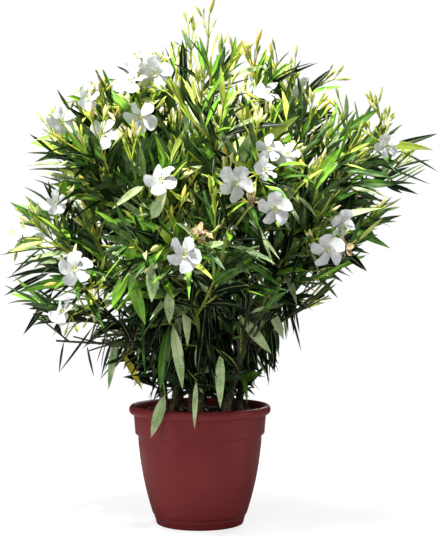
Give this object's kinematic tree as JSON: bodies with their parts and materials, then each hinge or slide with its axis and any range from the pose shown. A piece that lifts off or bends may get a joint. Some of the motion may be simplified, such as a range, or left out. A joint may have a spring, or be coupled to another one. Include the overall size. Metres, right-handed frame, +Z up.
{
  "type": "potted oleander",
  "caption": "White-flowered oleander, a bushy shrub of upright stems with lance-shaped leaves, in a round plastic pot with a rolled lip.",
  "frame": {"origin": "centre of the pot's flat underside", "axes": "+Z up along the pot's axis, +X to the plant's right and -Y to its front"},
  "size_m": [0.7409, 0.6408, 0.8745],
  "materials": {
    "pot": "satin, dark red-brown",
    "soil": "loose, dark, with pale grit",
    "bark": "smooth grey-brown bark with pale leaf scars",
    "young_bark": "smooth green bark",
    "leaf": "leathery, satin",
    "petal": "soft, matte",
    "bud": "soft, satin"
  },
  "bodies": {
    "root": {"pot": "pot", "soil": "soil", "stem_left": "bark", "stem_front_left": "bark", "stem_front": "bark", "stem_front_right": "bark", "stem_right": "bark", "stem_centre": "bark", "stem_back_right": "bark", "stem_back_left": "bark", "bough_crown_back": "young_bark", "bough_left_outer": "young_bark", "bough_left_low": "young_bark", "bough_front_left": "young_bark", "bough_front_low": "young_bark", "bough_right_low": "young_bark", "bough_back_right": "young_bark", "bough_back_low": "young_bark", "bough_skirt_left": "young_bark", "bough_skirt_right": "young_bark", "foliage_crown_spire": "leaf", "foliage_crown_left": "leaf", "foliage_crown_right": "leaf", "foliage_crown_back": "leaf", "foliage_left_shoulder": "leaf", "foliage_left_outer": "leaf", "foliage_left_low": "leaf", "foliage_front_left": "leaf", "foliage_front_middle": "leaf", "foliage_front_low": "leaf", "foliage_right_shoulder": "leaf", "foliage_right_middle": "leaf", "foliage_right_low": "leaf", "foliage_back_right": "leaf", "foliage_back_left": "leaf", "foliage_back_low": "leaf", "foliage_skirt_left": "leaf", "foliage_skirt_right": "leaf"}
  },
  "joints": []
}
